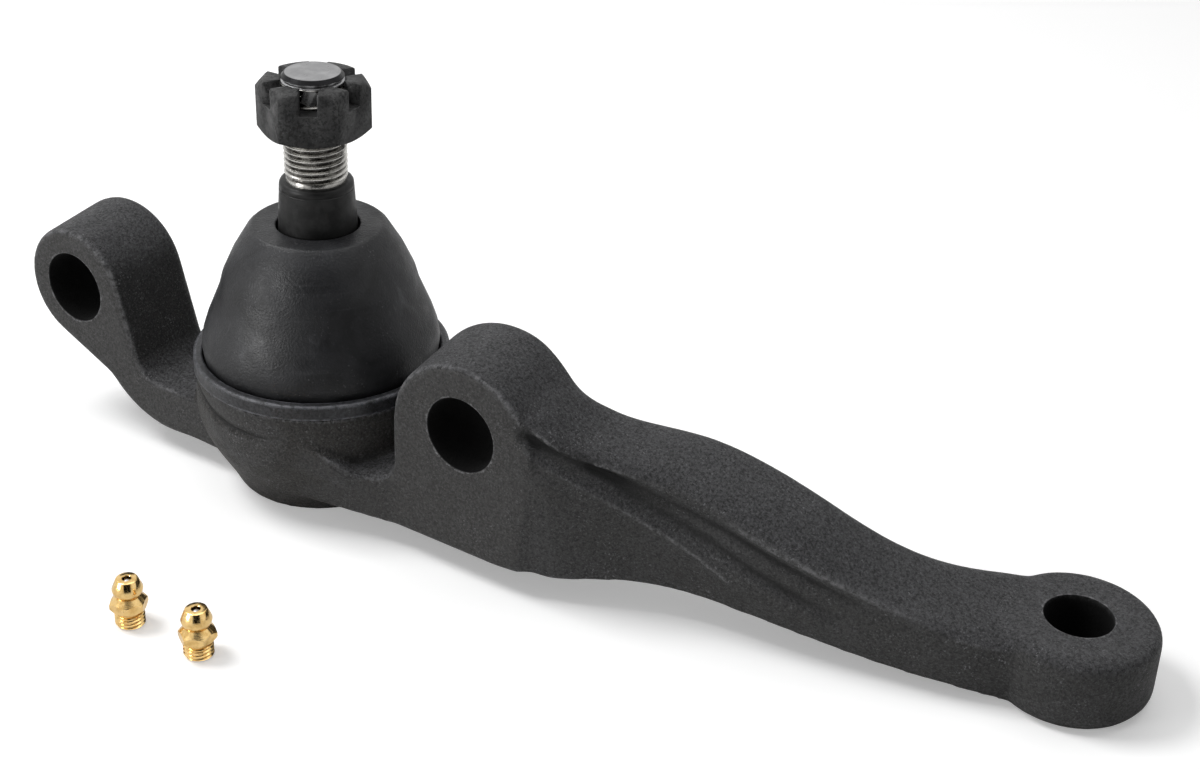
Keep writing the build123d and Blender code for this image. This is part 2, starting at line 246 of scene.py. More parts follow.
def forgedBlack():
    # the darkest colour serves the grain's pits and also painted shade in creases and hollows; 'hole' is painted
    # shade inside the bores; 'cool' tops against 'warm' sides are painted light by facing; 'pale' also paints a sheen
    # on the tops; 'worn' also paints a highlight along the lip and parting lines
    look = {"warm": (0.056, 0.0555, 0.0545), "cool": (0.060, 0.060, 0.063), "pale": (0.090, 0.090, 0.093),
            "nearBlack": (0.010, 0.010, 0.010), "machined": (0.058, 0.057, 0.056), "bowl": (0.050, 0.0475, 0.044),
            "worn": (0.30, 0.30, 0.31), "dust": (0.26, 0.26, 0.27), "hole": (0.0016, 0.0016, 0.0016),
            "faceY": -18.5, "bowlR": 31.0, "leftLug": (-36, -42), "holes": [(-63.1, 36.1), (54.5, 36.1)],
            "holeR": 8.9, "eye": (180.6, 25.0), "eyeR": 7.35}
    material, tree, shader = startMaterial("forgedBlack", look["cool"], 0.6, specular=0.12)
    place, facing = coords(tree), coords(tree, "Normal")
    curve, scale = stored(tree, "curve"), stored(tree, "scale")
    front = reach(tree, axisOf(tree, facing, 1), -0.90, -0.97)
    onPlane = reach(tree, axisOf(tree, place, 1), (look["faceY"] + 0.4) * mm, (look["faceY"] + 0.2) * mm)
    machined = maths(tree, "MULTIPLY", front, onPlane)
    bowl = maths(tree, "MULTIPLY", insideHole(tree, place, 0, 1, (0, 0), look["bowlR"]),
                 maths(tree, "SUBTRACT", 1.0, machined))
    upward = reach(tree, axisOf(tree, facing, 2), 0.05, 0.75)
    grain = noise(tree, 1500, 4, 0.75)
    fine = noise(tree, 2300, 3, 0.7)
    lumps = noise(tree, 240, 3)
    patches = reach(tree, noise(tree, 42, 5, 0.62), 0.36, 0.70)
    # top faces get the cooler, slightly lighter colour and sides the warmer one: painted light by facing
    colour = mixed(tree, upward, look["warm"], look["cool"])
    colour = mixed(tree, maths(tree, "MULTIPLY", patches, 0.40), colour, look["pale"])
    # faces turned straight up go paler: a painted sheen on the tops
    colour = mixed(tree, reach(tree, axisOf(tree, facing, 2), 0.80, 0.97, 0.0, 0.42), colour, look["pale"])
    lugStart, lugEnd = look["leftLug"]
    # the left lug's inner side, facing along x, is darkened towards the darkest colour: painted shade in the hollow
    paintedHollowShade = maths(tree, "MULTIPLY", reach(tree, axisOf(tree, facing, 0), 0.75, 0.98),
                   reach(tree, axisOf(tree, place, 0), lugStart * mm, lugEnd * mm))
    colour = mixed(tree, maths(tree, "MULTIPLY", paintedHollowShade, 0.62), colour, look["nearBlack"])
    colour = mixed(tree, maths(tree, "MULTIPLY", bowl, 0.8), colour, look["bowl"])
    colour = mixed(tree, machined, colour, look["machined"])
    pits = maths(tree, "MULTIPLY", reach(tree, grain, 0.62, 0.36), reach(tree, upward, 0, 1, 0.65, 0.85))
    pits = maths(tree, "MULTIPLY", pits, reach(tree, machined, 0, 1, 1.0, 0.8))
    colour = mixed(tree, pits, colour, look["nearBlack"])
    grit = maths(tree, "MULTIPLY", reach(tree, fine, 0.50, 0.70), reach(tree, upward, 0, 1, 0.20, 0.24))
    colour = mixed(tree, grit, colour, look["dust"])
    specks = maths(tree, "MULTIPLY", reach(tree, noise(tree, 2000, 2), 0.60, 0.70),
                   reach(tree, noise(tree, 110, 4, 0.7), 0.46, 0.66))
    colour = mixed(tree, maths(tree, "MULTIPLY", specks, 0.55), colour, look["dust"])
    # concave places darken towards the darkest colour: painted shade in creases and hollows
    colour = mixed(tree, reach(tree, curve, -0.02, -0.12, 0.0, 0.85), colour, look["nearBlack"])
    # the lines' stored amount: above 0 darkens them, painted shade along the creases; below 0 lightens them towards
    # the worn colour, a painted highlight along the lip and parting lines
    colour = mixed(tree, reach(tree, scale, 0.0, 1.0), colour, look["nearBlack"])
    colour = mixed(tree, reach(tree, scale, 0.0, -1.0), colour, look["worn"])
    chipped = maths(tree, "MULTIPLY", reach(tree, curve, 0.045, 0.13),
                    reach(tree, noise(tree, 700, 5, 0.8), 0.38, 0.64))
    colour = mixed(tree, maths(tree, "MULTIPLY", chipped, 0.62), colour, look["worn"])
    # inside the bolt holes and the eye the colour goes near black: painted shade in the bores
    paintedBoreShade = insideHole(tree, place, 0, 1, look["eye"], look["eyeR"])
    for hole in look["holes"]:
        paintedBoreShade = maths(tree, "MAXIMUM", paintedBoreShade, insideHole(tree, place, 0, 2, hole, look["holeR"]))
    plug(tree, shader.inputs["Base Color"], mixed(tree, paintedBoreShade, colour, look["hole"]))
    roughness = reach(tree, lumps, 0.3, 0.7, 0.46, 0.62)
    boredRoughness = maths(tree, "MULTIPLY", paintedBoreShade, 0.95)
    plug(tree, shader.inputs["Roughness"], maths(tree, "MAXIMUM", roughness, boredRoughness))
    height = maths(tree, "MULTIPLY", grain, reach(tree, machined, 0, 1, 1.0, 0.35))
    height = maths(tree, "MULTIPLY", height, reach(tree, upward, 0, 1, 0.6, 1.0))
    normal = bump(tree, lumps, 0.0003, 0.4)
    normal = bump(tree, height, 0.0005, 0.9, normal)
    plug(tree, shader.inputs["Normal"], normal)
    return material


def bootRubber():
    look = {"dark": (0.0085, 0.0086, 0.0094), "light": (0.021, 0.0215, 0.0235), "rub": (0.075, 0.076, 0.082),
            "dust": (0.15, 0.15, 0.16)}
    material, tree, shader = startMaterial("bootRubber", look["dark"], 0.45, specular=0.26)
    smudge = reach(tree, noise(tree, 55, 5, 0.65, distortion=0.8), 0.34, 0.66)
    colour = mixed(tree, smudge, look["dark"], look["light"])
    streaks = noise(tree, 1, 4, 0.7, stretch=(150, 150, 28), distortion=0.5)
    rubs = maths(tree, "MULTIPLY", reach(tree, streaks, 0.54, 0.72), reach(tree, noise(tree, 48, 3), 0.45, 0.65))
    colour = mixed(tree, maths(tree, "MULTIPLY", rubs, 0.65), colour, look["rub"])
    rings = maths(tree, "MULTIPLY", reach(tree, noise(tree, 1, 2, stretch=(20, 20, 900)), 0.58, 0.72),
                  reach(tree, noise(tree, 60, 3), 0.42, 0.62))
    colour = mixed(tree, maths(tree, "MULTIPLY", rings, 0.14), colour, look["rub"])
    specks = maths(tree, "MULTIPLY", reach(tree, noise(tree, 1700, 2), 0.62, 0.72),
                   reach(tree, noise(tree, 80, 4, 0.7), 0.44, 0.66))
    colour = mixed(tree, maths(tree, "MULTIPLY", specks, 0.6), colour, look["dust"])
    plug(tree, shader.inputs["Base Color"], colour)
    plug(tree, shader.inputs["Roughness"], reach(tree, noise(tree, 130, 5, 0.6), 0.3, 0.7, 0.34, 0.54))
    normal = bump(tree, noise(tree, 200, 3), 0.0002, 0.3)
    normal = bump(tree, noise(tree, 1900, 3), 0.00016, 0.8, normal)
    plug(tree, shader.inputs["Normal"], normal)
    return material


# painted shade on turned steel: dark thread roots and black hole walls, and a dark band that paints a reflection on
# the tip's chamfer
paintedDarkOnTurned = {"root": (0.040, 0.036, 0.033), "hole": (0.003, 0.003, 0.003), "band": (0.016, 0.016, 0.017),
              "bandBlur": 0.05}


# in mm: black inside holeR and dark roots inside rootR, both painted shade, and a dark band between two radii above a
# height, a painted dark reflection
def latheSteel(name, dark, light, roughness, metallic, holeR=None, rootR=None, band=None):
    material, tree, shader = startMaterial(name, dark, roughness, metallic, 0.2)
    place = coords(tree)
    rings = noise(tree, 1, 2, stretch=(0, 0, 3200))
    colour = mixed(tree, reach(tree, noise(tree, 300, 4, 0.6), 0.35, 0.7), dark, light)
    # thread roots darkened in patches: painted shade
    if rootR:
        root = insideHole(tree, place, 0, 1, (0, 0), rootR)
        patchy = reach(tree, noise(tree, 380, 4, 0.7), 0.3, 0.6, 0.40, 0.90)
        colour = mixed(tree, maths(tree, "MULTIPLY", root, patchy), colour, paintedDarkOnTurned["root"])
    # hole walls near black and not metallic: painted shade
    if holeR:
        inner = insideHole(tree, place, 0, 1, (0, 0), holeR)
        colour = mixed(tree, inner, colour, paintedDarkOnTurned["hole"])
        plug(tree, shader.inputs["Metallic"], reach(tree, inner, 0, 1, metallic, 0))
    # the band darkened: a painted dark reflection on the chamfer
    if band:
        innerR, outerR, foot = band
        within = maths(tree, "SUBTRACT", insideHole(tree, place, 0, 1, (0, 0), outerR),
                       insideHole(tree, place, 0, 1, (0, 0), innerR))
        above = reach(tree, axisOf(tree, place, 2), (foot - paintedDarkOnTurned["bandBlur"]) * mm, foot * mm)
        within = maths(tree, "MULTIPLY", within, above)
        colour = mixed(tree, within, colour, paintedDarkOnTurned["band"])
    plug(tree, shader.inputs["Base Color"], colour)
    worn = noise(tree, 500, 3)
    plug(tree, shader.inputs["Roughness"], reach(tree, worn, 0.3, 0.7, roughness - 0.07, roughness + 0.08))
    normal = bump(tree, rings, 0.00004, 0.6)
    normal = bump(tree, noise(tree, 1700, 2), 0.00004, 0.5, normal)
    plug(tree, shader.inputs["Normal"], normal)
    return material


blackMarks = {"nearBlack": (0.006, 0.006, 0.006), "speck": (0.12, 0.12, 0.125)}


def blackSteel(name, look):
    material, tree, shader = startMaterial(name, look["dark"], look["roughness"], 0.0, look["specular"])
    edge, rounded = edgeOf(tree, look["edgeRadius"], *look["edgeTurn"])
    stains = reach(tree, noise(tree, 170, 5, 0.65), 0.35, 0.7)
    colour = mixed(tree, stains, look["dark"], look["light"])
    pits = reach(tree, noise(tree, 1300, 3, 0.7), 0.55, 0.40, 0.0, 0.8)
    colour = mixed(tree, pits, colour, blackMarks["nearBlack"])
    specks = reach(tree, noise(tree, 1500, 3, 0.7), 0.58, 0.72)
    colour = mixed(tree, maths(tree, "MULTIPLY", specks, 0.5), colour, blackMarks["speck"])
    chipped = maths(tree, "MULTIPLY", edge, reach(tree, noise(tree, 600, 4, 0.7), *look["chips"]))
    colour = mixed(tree, maths(tree, "MULTIPLY", chipped, look["wear"]), colour, look["worn"])
    plug(tree, shader.inputs["Base Color"], colour)
    worn = noise(tree, 420, 3)
    plug(tree, shader.inputs["Roughness"],
         reach(tree, worn, 0.3, 0.7, look["roughness"] - 0.06, look["roughness"] + 0.1))
    normal = bump(tree, noise(tree, 1600, 3), 0.0001, 0.6, rounded)
    plug(tree, shader.inputs["Normal"], normal)
    return material


def polishedBrass():
    look = {"base": (0.80, 0.56, 0.22), "clean": (0.83, 0.58, 0.25), "stained": (0.62, 0.38, 0.12)}
    material, tree, shader = startMaterial("polishedBrass", look["base"], 0.16, 1.0)
    stains = reach(tree, noise(tree, 700, 3), 0.4, 0.75)
    plug(tree, shader.inputs["Base Color"], mixed(tree, stains, look["clean"], look["stained"]))
    plug(tree, shader.inputs["Roughness"], reach(tree, noise(tree, 1500, 2), 0.3, 0.7, 0.12, 0.24))
    rings = noise(tree, 1, 2, stretch=(0, 0, 5200))
    plug(tree, shader.inputs["Normal"], bump(tree, rings, 0.00003, 0.5))
    return material


forging = forgedBlack()
rubber = bootRubber()
taperSteel = latheSteel("taperSteel", (0.010, 0.010, 0.010), (0.022, 0.022, 0.022), 0.40, 0.1)
# thread with painted shade in its roots and in the pin hole
threadSteel = latheSteel("threadSteel", (0.40, 0.39, 0.37), (0.62, 0.61, 0.58), 0.26, 1.0,
                         holeR=6.15, rootR=6.80)
# tip with a painted dark reflection on its chamfer band
tipSteel = latheSteel("tipSteel", (0.25, 0.25, 0.255), (0.35, 0.35, 0.355), 0.34, 0.95,
                      band=(6.2, 7.2, 100.3))
groundSteel = latheSteel("groundSteel", (0.38, 0.38, 0.39), (0.50, 0.50, 0.51), 0.28, 1.0)
nutBlack = blackSteel("nutBlack", {
    "dark": (0.030, 0.030, 0.0302), "light": (0.056, 0.056, 0.056), "worn": (0.20, 0.20, 0.20), "roughness": 0.5,
    "specular": 0.20, "edgeRadius": 0.00025, "edgeTurn": (0.97, 0.85), "chips": (0.40, 0.58), "wear": 0.8})
ringBlack = blackSteel("ringBlack", {
    "dark": (0.020, 0.0205, 0.023), "light": (0.040, 0.041, 0.046), "worn": (0.24, 0.245, 0.27), "roughness": 0.4,
    "specular": 0.30, "edgeRadius": 0.0008, "edgeTurn": (0.995, 0.95), "chips": (0.36, 0.60), "wear": 0.8})
brass = polishedBrass()

finishes = {
    "steering_arm": forging, "cover_plate": nutBlack, "spring_washer": groundSteel,
    "pressure_seat": groundSteel, "upper_bearing": groundSteel, "half_ball": groundSteel,
    "ball_stud": taperSteel, "castle_nut": nutBlack, "boot_ring": ringBlack, "boot": rubber,
    "grease_fitting_1": brass, "grease_fitting_2": brass, "check_ball_1": groundSteel,
    "check_ball_2": groundSteel, "check_spring_1": groundSteel, "check_spring_2": groundSteel,
}
for nodeName, material in finishes.items():
    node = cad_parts[nodeName]
    if not node.material_slots:
        node.data.materials.append(material)
    for slot in node.material_slots:
        slot.material = material
print("materials on the solids")


# ---- forging: the solid skinned afresh, its corners run together as a die leaves them, then machined

forgingShape = {
    "voxel": 0.69, "faceY": -18.5, "backY": 2.9, "boltHoles": [(-63.1, 36.1), (54.5, 36.1)], "boltR": 8.5,
    "holeChamfer": 0.5, "eye": (180.6, 25.0), "eyeTop": 17.0, "eyeR": 7.3, "eyeTaper": 0.0625,
    # the holes are plugged before the skin is made, with plugs wider by these, and cutters run past the faces
    "boltOverlap": 1.0, "eyeOverlap": 0.8, "overrun": 2,
    # rounds of smoothing, then how much of it the arm gets, between these lengths
    "rounds": 130, "armRun": 0.16, "armStart": (73, 82), "armEnd": (158, 168), "lastRounds": 4,
    # the blend that rounds the crown fades in over these depths, so that the lug's face stays flat
    "strongBlend": 0.9, "crownFade": (-17.5, -12.5), "leastWeight": 0.002, "sharpTurn": 52,
    # where corners are run together: place, reach and how much
    "blends": [((71, -4, 46), 15, 1.0), ((72, -17.5, 32), 7, 0.14), ((72, -17.5, 24), 7, 0.14),
               ((71.5, -17.5, 16), 7, 0.18), ((71, -16.5, 8), 8, 0.30), ((-26, -17, 10), 8, 0.25),
               ((-28, -14, 17), 7, 0.25), ((14, -27, 20), 8, 0.22), ((27, -21, 18), 8, 0.22),
               ((38, -14, 20), 7, 0.16), ((31, -2, 20), 9, 0.2), ((165, 14, 14), 7, 0.10), ((166, 30, 12), 9, 0.4)],
    # two wedges that join the bowl to the web on its right
    "gussets": [
        [(6, -28.6, 16), (6, -28.6, 23.0), (17, -25.1, 22.8), (21, -23.7, 16), (6, -22, 16), (6, -22, 23.0),
         (17, -20, 22.8), (21, -18, 16)],
        [(17, -25.1, 22.8), (27, -21.6, 17.2), (27, -21.6, 15), (17, -25.1, 15), (17, -21, 22.8),
         (27, -19, 17.2), (17, -18, 15), (27, -17, 15)],
    ],
    # creases and ridges: depth into the metal, half width, painted shade left in them (below 0 a painted highlight
    # towards the worn colour), and their line
    "lines": {
        "crownHollow": (0.7, 1.9, 0.16, [
            (69.5, -17.8, 42.2), (74.6, -15.0, 38.8), (79.4, -13.0, 36.9), (84.9, -10.5, 34.6), (90.2, -7.6, 32.8),
            (98.0, -5.0, 30.2)]),
        "underCrown": (0.8, 1.1, 0.50, [
            (68.5, -17.9, 43.2), (70.5, -16.9, 41.5), (74.6, -15.0, 39.1), (79.4, -13.0, 37.3), (84.9, -10.5, 34.9),
            (90.2, -7.6, 33.4), (100.5, -4.3, 29.8), (115.1, -3.0, 25.9), (126.2, -2.0, 22.3), (138.3, 0.2, 18.9),
            (149.0, 2.0, 16.4), (158.0, 4.5, 15.0)]),
        "rollFoot": (0.75, 1.1, 0.50, [
            (82.0, -11.9, 36.2), (85.9, -10.4, 34.6), (90.6, -8.2, 30.9), (96.4, -6.0, 28.3), (105.9, -4.1, 24.4),
            (118.7, -3.0, 19.3), (130.2, -1.4, 15.4), (139.1, -0.1, 13.2), (150.0, 2.4, 11.0)]),
        "crownLip": (-0.45, 1.0, -0.16, [
            (112.0, -3.0, 29.4), (126.2, -2.0, 25.0), (138.3, 0.2, 21.4), (148.0, 2.0, 18.8), (158.0, 5.0, 17.4),
            (166.0, 9.0, 16.8)]),
        "parting": (-0.55, 0.7, -0.08, [
            (72.7, -17.7, 36.2), (83.7, -13.8, 30.6), (95.1, -9.3, 24.9), (107.5, -6.3, 19.3), (115.6, -5.0, 14.7),
            (126.2, -2.9, 11.0)]),
        "bowlCrease": (0.8, 0.75, 0.35, [
            (-24.5, -17.0, 26.0), (-20.0, -21.8, 25.8), (-14.4, -25.8, 25.3), (-8.2, -28.5, 24.0),
            (-1.5, -29.7, 23.2), (7.1, -28.9, 23.2), (14.0, -26.5, 24.2)]),
    },
    # how a line's reach is found: depth counts by this share, the search margin in mm, and the half widths it spans
    "depthShare": 0.35, "lineMargin": 4, "lineSpan": 3.5, "mostlyBack": 0.3,
}


def addPlug(bm, place, axis, radius, depth):
    part = bmesh.new()
    turn = Matrix.Rotation(pi / 2, 4, "X") if axis == "Y" else Matrix.Identity(4)
    bmesh.ops.create_cone(part, cap_ends=True, segments=96, radius1=radius, radius2=radius, depth=depth,
                          matrix=Matrix.Translation(place) @ turn)
    joinInto(bm, part)


def addHull(bm, points):
    part = bmesh.new()
    corners = [part.verts.new(point) for point in points]
    bmesh.ops.convex_hull(part, input=corners)
    joinInto(bm, part)


def applied(piece):
    graph = bpy.context.evaluated_depsgraph_get()
    mesh = bpy.data.meshes.new_from_object(piece.evaluated_get(graph))
    piece.modifiers.clear()
    piece.data = mesh
    return mesh


def eased(value, low, high):
    share = min(max((value - low) / (high - low), 0.0), 1.0)
    return share * share * (3 - 2 * share)


# distance to a line of points, counted mostly across the face, and the share of the way along it
def alongLine(point, line):
    best, at = 1e9, 0.0
    for index, (start, end) in enumerate(zip(line, line[1:])):
        way = end - start
        share = min(max((point - start).dot(way) / way.length_squared, 0.0), 1.0)
        gap = start + way * share - point
        gap.y *= forgingShape["depthShare"]
        gap = gap.length
        if gap < best:
            best, at = gap, (index + share) / (len(line) - 1)
    return best, at


# every point near a line, with the share of the line's effect there
def nearLine(bm, width, points):
    line = [Vector(point) * mm for point in points]
    margin = forgingShape["lineMargin"] * mm
    low = [min(p[i] for p in line) - margin for i in range(3)]
    high = [max(p[i] for p in line) + margin for i in range(3)]
    found = []
    for v in bm.verts:
        if all(low[i] < v.co[i] < high[i] for i in range(3)) and v.normal.y < forgingShape["mostlyBack"]:
            gap, at = alongLine(v.co, line)
            if gap < forgingShape["lineSpan"] * width * mm:
                fade = eased(at, -0.03, 0.08) * eased(1 - at, 0.0, 0.30)
                found.append((v, fade * exp(-(gap / (width * mm)) ** 2 / 2)))
    return found


def pressLines(bm):
    for depth, width, _, points in forgingShape["lines"].values():
        moves = [(v, v.normal * (-depth * mm * share)) for v, share in nearLine(bm, width, points)]
        for v, move in moves:
            v.co += move


def holeCutter():
    bm = bmesh.new()
    depth = forgingShape["backY"] - forgingShape["faceY"]
    r, chamfer, past = forgingShape["boltR"], forgingShape["holeChamfer"], forgingShape["overrun"]
    for x, z in forgingShape["boltHoles"]:
        part = bmesh.new()
        addLathe(part, [(0, -past), (r + chamfer + past, -past), (r, chamfer), (r, depth - chamfer),
                        (r + chamfer + past, depth + past), (0, depth + past)])
        bmesh.ops.rotate(part, verts=part.verts, cent=(0, 0, 0), matrix=Matrix.Rotation(-pi / 2, 3, "X"))
        bmesh.ops.translate(part, verts=part.verts, vec=(x, forgingShape["faceY"], z))
        joinInto(bm, part)
    top, taper, r = forgingShape["eyeTop"], forgingShape["eyeTaper"], forgingShape["eyeR"]
    addLathe(bm, [(0, -past), (r - taper * (top + past), -past), (r + taper * past, top + past), (0, top + past)],
             centre=forgingShape["eye"])
    return toObject("holeCutter", bm)


# how far each point stands out of its neighbours, kept on the mesh for wear and for painted shade in the hollows,
# with the lines' painted shade and painted highlight kept beside it
def keepCurve(mesh):
    bm = bmesh.new()
    bm.from_mesh(mesh)
    layer = bm.verts.layers.float.new("curve")
    paintedLightLayer = bm.verts.layers.float.new("scale")
    bm.normal_update()
    # each line adds its painted shade to the stored amount; a line below 0 adds a painted highlight
    for _, width, scale, points in forgingShape["lines"].values():
        for v, share in nearLine(bm, width, points):
            v[paintedLightLayer] += scale * share
    raw = {}
    for v in bm.verts:
        ring = [edge.other_vert(v).co for edge in v.link_edges]
        if ring:
            middle = sum(ring, Vector()) / len(ring)
            reachOut = sum((co - v.co).length for co in ring) / len(ring)
            raw[v] = (v.co - middle).dot(v.normal) / max(reachOut, 1e-7)
        else:
            raw[v] = 0.0
    for v in bm.verts:
        near = [raw[edge.other_vert(v)] for edge in v.link_edges]
        v[layer] = (raw[v] + sum(near)) / (len(near) + 1)
    bm.to_mesh(mesh)
    bm.free()


def makeForging():
    bm = copyOfNode("steering_arm")
    depth = forgingShape["backY"] - forgingShape["faceY"]
    for x, z in forgingShape["boltHoles"]:
        addPlug(bm, (x, forgingShape["faceY"] + depth / 2, z), "Y",
                forgingShape["boltR"] + forgingShape["boltOverlap"], depth)
    eyeX, eyeY = forgingShape["eye"]
    addPlug(bm, (eyeX, eyeY, forgingShape["eyeTop"] / 2), "Z",
            forgingShape["eyeR"] + forgingShape["eyeOverlap"], forgingShape["eyeTop"])
    for points in forgingShape["gussets"]:
        addHull(bm, points)
    piece = toObject("forgedArm", bm)

    remesh = piece.modifiers.new("skin", "REMESH")
    remesh.mode = "VOXEL"
    remesh.voxel_size = forgingShape["voxel"] * mm
    mesh = applied(piece)
    group = piece.vertex_groups.new(name="blend")
    for v in mesh.vertices:
        weight = 0.0
        for place, radius, amount in forgingShape["blends"]:
            away = (v.co / mm - Vector(place)).length / radius
            if away < 1:
                share = amount * (1 - away * away) ** 2
                if amount > forgingShape["strongBlend"]:
                    share *= eased(v.co.y / mm, *forgingShape["crownFade"])
                weight = max(weight, share)
        x = v.co.x / mm
        fadeOut, end = forgingShape["armEnd"]
        weight = max(weight, forgingShape["armRun"] * eased(x, *forgingShape["armStart"]) * eased(-x, -end, -fadeOut))
        if weight > forgingShape["leastWeight"]:
            group.add([v.index], weight, "REPLACE")
    smooth = piece.modifiers.new("run", "SMOOTH")
    smooth.factor = 0.5
    smooth.iterations = forgingShape["rounds"]
    smooth.vertex_group = "blend"
    mesh = applied(piece)
    bm = bmesh.new()
    bm.from_mesh(mesh)
    for turn in range(forgingShape["lastRounds"]):
        bmesh.ops.smooth_vert(bm, verts=bm.verts, factor=0.5, use_axis_x=True, use_axis_y=True, use_axis_z=True)
    bm.normal_update()
    pressLines(bm)
    for face in bm.faces:
        face.smooth = True
    bm.to_mesh(mesh)
    bm.free()
    piece.vertex_groups.clear()
    carve(piece, holeCutter())
    mesh = piece.data
    keepCurve(mesh)
    mesh.set_sharp_from_angle(angle=radians(forgingShape["sharpTurn"]))
    paint(piece, forging)
    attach(piece, "arm")
    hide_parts("steering_arm")
    print("forging has", len(mesh.polygons), "faces")


makeForging()


# ---- sealing boot

boot = {
    "outer": [(26.9, 29.9), (27.5, 33.0), (27.75, 35.2), (27.3, 38.2), (26.2, 41.6), (24.7, 45.2), (23.2, 48.8),
              (22.35, 52.0), (22.1, 52.7), (19.7, 57.9), (16.25, 63.6), (15.2, 64.55)],
    "hole": (9.6, 64.5), "wall": 2.4, "lipR": 13.2, "foot": (23.6, 29.9), "steps": 128,
    "edge": 0.35, "edgeSegments": 3, "edgeTurn": 28, "sharpTurn": 24,
}


def makeBoot():
    bm = bmesh.new()
    outer, (holeR, holeZ) = boot["outer"], boot["hole"]
    inner = [(r - boot["wall"], z) for r, z in outer[1:-2]]
    lip = [(holeR, holeZ), (holeR, holeZ - boot["wall"]), (boot["lipR"], holeZ - boot["wall"])]
    addLathe(bm, outer + lip + inner[::-1] + [boot["foot"]], boot["steps"])
    piece = toObject("sealingBoot", bm, boot["sharpTurn"])
    piece.data.materials.append(rubber)
    bevel = piece.modifiers.new("edges", "BEVEL")
    bevel.width = boot["edge"] * mm
    bevel.segments = boot["edgeSegments"]
    bevel.limit_method = "ANGLE"
    bevel.angle_limit = radians(boot["edgeTurn"])
    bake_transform(piece)
    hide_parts("boot")


makeBoot()
print("boot made")


# ---- ball stud: body with its taper, then the threaded end

stud = {
    "ball": 15.0, "ballZ": 20.5, "flatZ": 6.5, "headZ": 20.44,
    "shank": [(8.6, 20.0), (8.6, 45.0), (9.84, 51.0), (8.95, 66.4), (8.52, 73.6), (8.40, 73.72), (8.40, 73.9),
              (8.50, 74.05), (8.46, 74.6), (8.38, 75.0), (8.18, 75.35), (7.85, 75.57), (7.4, 75.65), (6.5, 75.65)],
    "neck": [(0, 75.0), (6.85, 75.0), (6.85, 76.3), (6.6, 76.75), (6.3, 77.2), (0, 77.2)],
    "tip": [(0, 98.8), (6.5, 98.8), (7.08, 99.1), (7.08, 99.4), (6.5, 99.75), (6.5, 99.9), (7.0, 100.15),
            (7.0, 100.35), (6.28, 101.2), (0, 101.2)],
    "core": [(0, 75.7), (0, 20.0)], "endSteps": 72, "sharpTurn": 40, "tipSharpTurn": 30,
    "pitch": 1.411, "root": 6.30, "crest": 7.14, "threadFoot": 76.8, "threadTop": 99.2, "stepsPerTurn": 60,
    "pinHole": 1.9, "pinZ": 97.1, "pinTurn": -55.4, "pinSides": 28, "pinLength": 20,
}


# one tooth wound up the shank: each turn's root meets the next, so the whole thread is one closed skin
def addThread(bm, root, crest, pitch, foot, top, stepsPerTurn):
    part = bmesh.new()
    tooth = [(root, 0), (crest, 0.40), (crest, 0.54), (root, 0.94), (root, 1)]
    corners = [part.verts.new((r, 0, foot + (share - 1.5) * pitch)) for r, share in tooth]
    for pair in zip(corners, corners[1:]):
        part.edges.new(pair)
    turns = int((top - foot) / pitch) + 4
    bmesh.ops.spin(part, geom=part.verts[:] + part.edges[:], cent=(0, 0, 0), axis=(0, 0, 1),
                   dvec=(0, 0, pitch / stepsPerTurn), angle=2 * pi * turns, steps=turns * stepsPerTurn)
    bmesh.ops.remove_doubles(part, verts=part.verts, dist=0.001)
    for z, outer in ((foot, False), (top, True)):
        geometry = part.verts[:] + part.edges[:] + part.faces[:]
        bmesh.ops.bisect_plane(part, geom=geometry, plane_co=(0, 0, z), plane_no=(0, 0, 1), dist=0.0001,
                               clear_outer=outer, clear_inner=not outer)
    rims = [edge for edge in part.edges if edge.is_boundary]
    bmesh.ops.holes_fill(part, edges=rims, sides=0)
    joinInto(bm, part)


def pinCutter():
    bm = bmesh.new()
    way = Matrix.Rotation(radians(stud["pinTurn"]), 4, "Z") @ Matrix.Rotation(pi / 2, 4, "Y")
    bmesh.ops.create_cone(bm, cap_ends=True, segments=stud["pinSides"], radius1=stud["pinHole"],
                          radius2=stud["pinHole"], depth=stud["pinLength"],
                          matrix=Matrix.Translation((0, 0, stud["pinZ"])) @ way)
    return toObject("pinCutter", bm)


